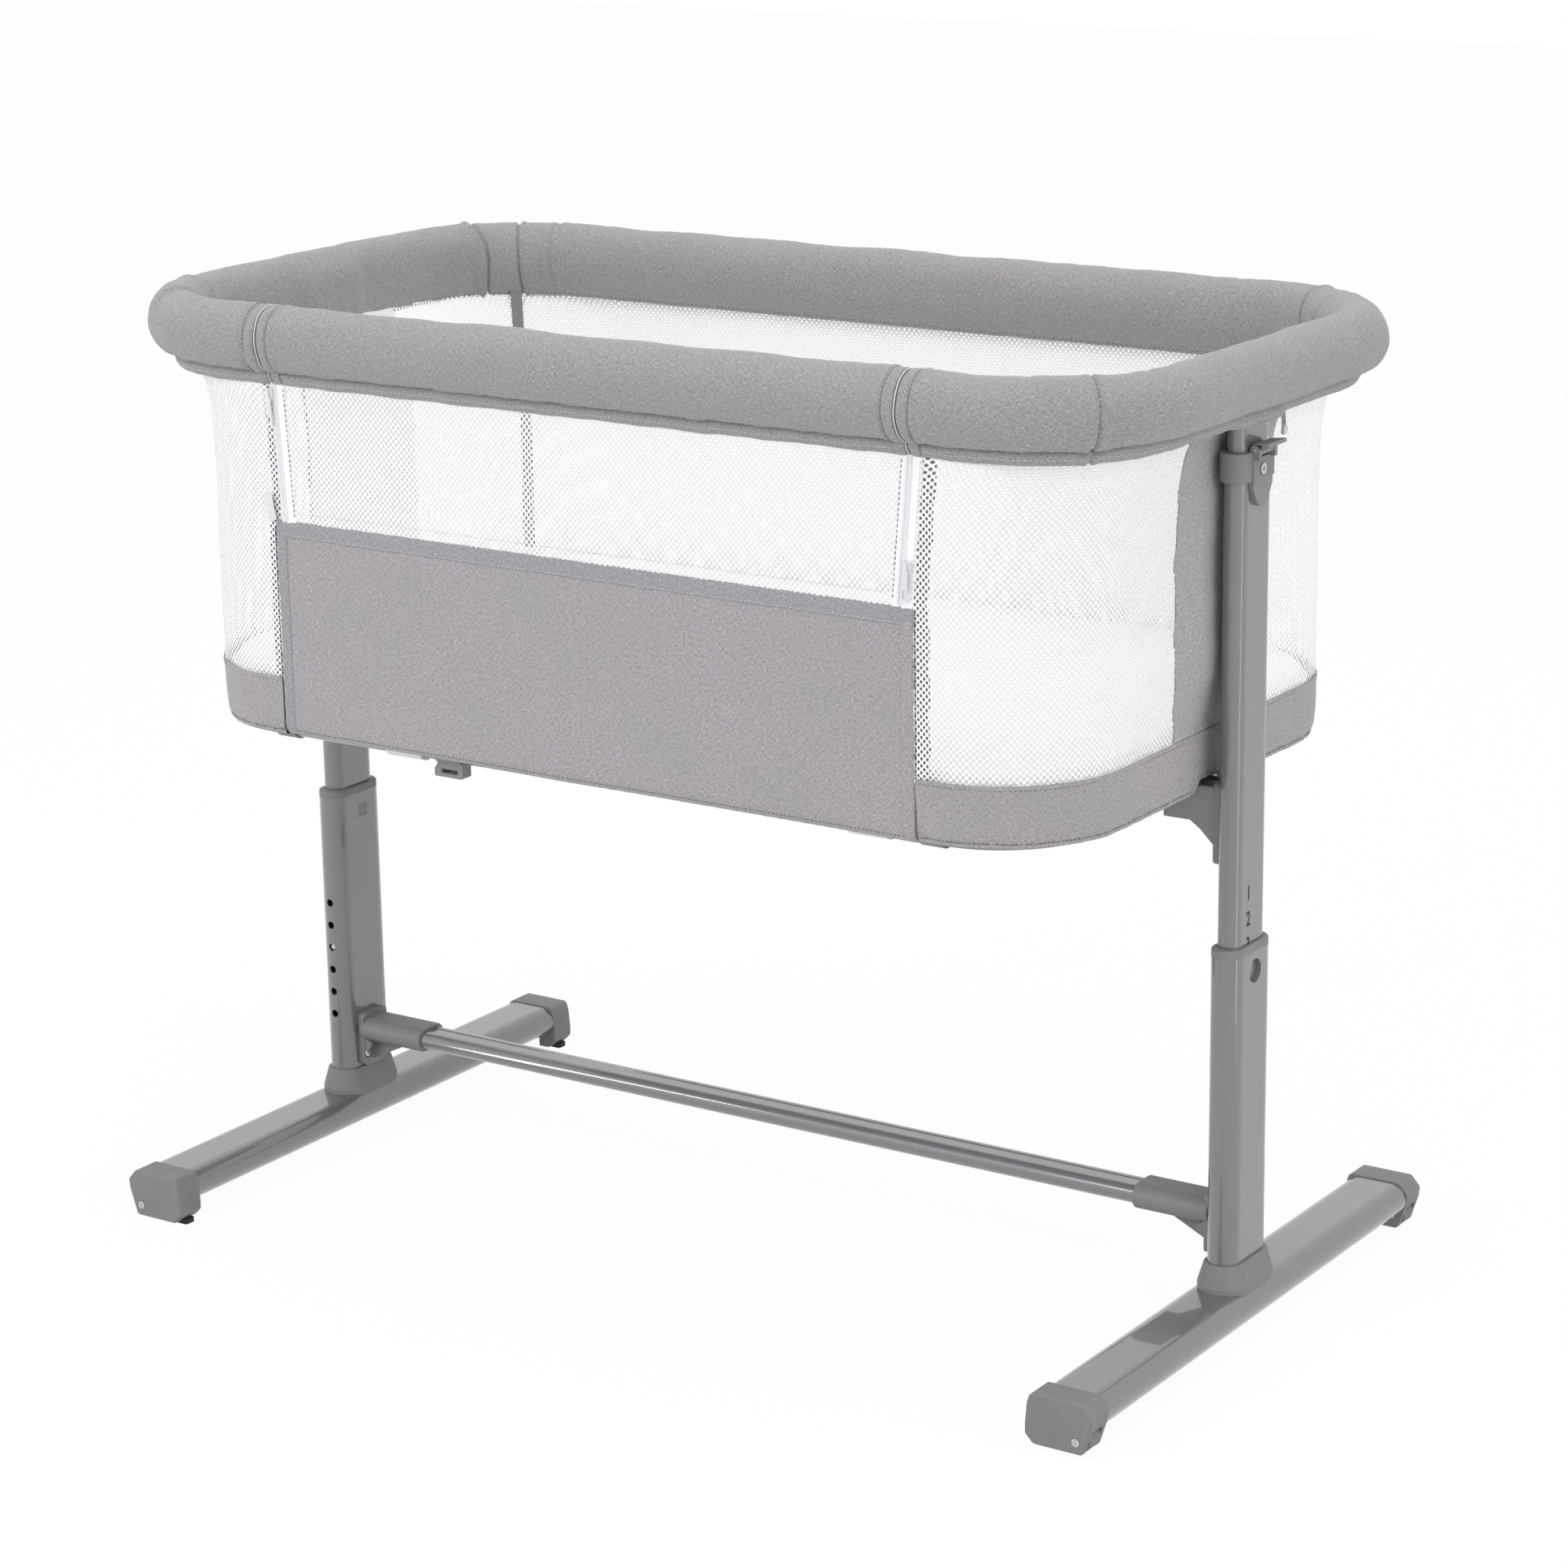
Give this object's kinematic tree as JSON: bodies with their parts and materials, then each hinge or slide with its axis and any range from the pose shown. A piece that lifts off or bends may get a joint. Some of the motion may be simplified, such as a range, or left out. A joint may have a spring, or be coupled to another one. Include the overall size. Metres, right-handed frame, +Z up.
{
  "type": "bedside sleeper crib",
  "caption": "Bedside crib with a padded rim, mesh walls and a zip-down front side, carried on telescopic height-adjustable legs with rollered feet.",
  "frame": {"origin": "on the floor under the middle of the crib, halfway between the two legs", "axes": "+X along the crib to the right as seen from the drop side, -Y is the drop side, +Z up"},
  "size_m": [0.9362, 0.5408, 0.768],
  "materials": {
    "frame_paint": "gloss",
    "grey_plastic": "satin",
    "pale_plastic": "satin",
    "dark_rubber": "matte",
    "screw_steel": "satin",
    "spring_steel": "satin",
    "slider_metal": "polished",
    "rim_fabric": "matte",
    "panel_fabric": "matte",
    "mesh_fabric": "matte",
    "tape_fabric": "matte",
    "strip_fabric": "matte",
    "tab_fabric": "matte",
    "floor_fabric": "matte",
    "mattress_fabric": "matte",
    "board_fibre": "matte"
  },
  "bodies": {
    "stand": {"foot_tube_left": "frame_paint", "foot_tube_right": "frame_paint", "front_foot_caps": "grey_plastic", "back_foot_caps": "grey_plastic", "roller_axle_screws": "screw_steel", "rubber_foot_pads": "dark_rubber", "foot_collars": "grey_plastic", "outer_leg_tube_left": "frame_paint", "outer_leg_tube_right": "frame_paint", "guide_bush_left": "grey_plastic", "guide_bush_right": "grey_plastic", "lower_brackets": "grey_plastic", "lower_bracket_screws": "screw_steel", "lower_crossbar": "frame_paint"},
    "basket": {"inner_leg_tube_left": "frame_paint", "inner_leg_tube_right": "frame_paint", "inner_leg_glides": "grey_plastic", "pin_springs": "spring_steel", "latch_collars": "grey_plastic", "latch_pivot_pins": "screw_steel", "frame_screws": "screw_steel", "upper_brackets": "grey_plastic", "base_rails": "frame_paint", "base_end_tubes": "frame_paint", "base_corner_elbows": "grey_plastic", "base_sleeves": "pale_plastic", "strap_buckle": "grey_plastic", "front_side_meshes": "mesh_fabric", "back_mesh": "mesh_fabric", "leg_side_strips": "strip_fabric", "lower_band": "panel_fabric", "front_panel": "panel_fabric", "basket_floor": "floor_fabric", "mattress_board": "board_fibre", "mattress": "mattress_fabric", "basket_zip_tapes": "tape_fabric", "fabric_tabs": "tab_fabric", "rim_pad_left": "rim_fabric", "rim_pad_right": "rim_fabric", "rim_pad_back": "rim_fabric", "rim_tube": "frame_paint", "rim_tees": "grey_plastic", "rim_posts": "frame_paint"},
    "drop_side": {"drop_rail_pad": "rim_fabric", "drop_rail_tube": "frame_paint", "drop_rail_plugs": "grey_plastic", "drop_side_mesh": "mesh_fabric", "drop_side_zip_tapes": "tape_fabric"},
    "roller_front_left": {"roller_front_left": "grey_plastic"},
    "roller_front_right": {"roller_front_right": "grey_plastic"},
    "roller_back_left": {"roller_back_left": "grey_plastic"},
    "roller_back_right": {"roller_back_right": "grey_plastic"},
    "latch_lever_left": {"latch_lever_left": "grey_plastic"},
    "latch_lever_right": {"latch_lever_right": "grey_plastic"},
    "height_pin_left": {"height_pin_left": "screw_steel"},
    "height_pin_right": {"height_pin_right": "screw_steel"},
    "zip_slider_left": {"zip_slider_left": "slider_metal"},
    "zip_slider_right": {"zip_slider_right": "slider_metal"}
  },
  "joints": [
    {"name": "height", "type": "slide", "parent": "stand", "child": "basket", "axis": [0, 0, 1], "range_m": [-0.06, 0.04]},
    {"name": "drop_side_fold", "type": "hinge", "parent": "basket", "child": "drop_side", "pos_m": [0, -0.239, 0.599], "axis": [1, 0, 0], "range_deg": [0, 170]},
    {"name": "roller_front_left_spin", "type": "hinge", "parent": "stand", "child": "roller_front_left", "pos_m": [-0.4446, -0.2575, 0.0115], "axis": [0, 1, 0], "continuous": true},
    {"name": "roller_front_right_spin", "type": "hinge", "parent": "stand", "child": "roller_front_right", "pos_m": [0.4446, -0.2575, 0.0115], "axis": [0, 1, 0], "continuous": true},
    {"name": "roller_back_left_spin", "type": "hinge", "parent": "stand", "child": "roller_back_left", "pos_m": [-0.4446, 0.2575, 0.0115], "axis": [0, 1, 0], "continuous": true},
    {"name": "roller_back_right_spin", "type": "hinge", "parent": "stand", "child": "roller_back_right", "pos_m": [0.4446, 0.2575, 0.0115], "axis": [0, 1, 0], "continuous": true},
    {"name": "latch_press_left", "type": "hinge", "parent": "basket", "child": "latch_lever_left", "pos_m": [-0.4432, 0, 0.687], "axis": [0, -1, 0], "range_deg": [0, 14], "stiffness_Nm_per_rad": 0.4, "springref_deg": -8.59},
    {"name": "pin_press_left", "type": "slide", "parent": "basket", "child": "height_pin_left", "axis": [0, -1, 0], "range_m": [-0.004, 0], "stiffness_N_per_m": 2500, "springref_m": 0.003},
    {"name": "latch_press_right", "type": "hinge", "parent": "basket", "child": "latch_lever_right", "pos_m": [0.4432, 0, 0.687], "axis": [0, 1, 0], "range_deg": [0, 14], "stiffness_Nm_per_rad": 0.4, "springref_deg": -8.59},
    {"name": "pin_press_right", "type": "slide", "parent": "basket", "child": "height_pin_right", "axis": [0, 1, 0], "range_m": [-0.004, 0], "stiffness_N_per_m": 2500, "springref_m": 0.003},
    {"name": "zip_run_left", "type": "slide", "parent": "basket", "child": "zip_slider_left", "axis": [-0.0727, 0.0182, 0.9972], "range_m": [-0.09, 0]},
    {"name": "zip_run_right", "type": "slide", "parent": "basket", "child": "zip_slider_right", "axis": [0.0727, 0.0182, 0.9972], "range_m": [0, 0.07]}
  ]
}
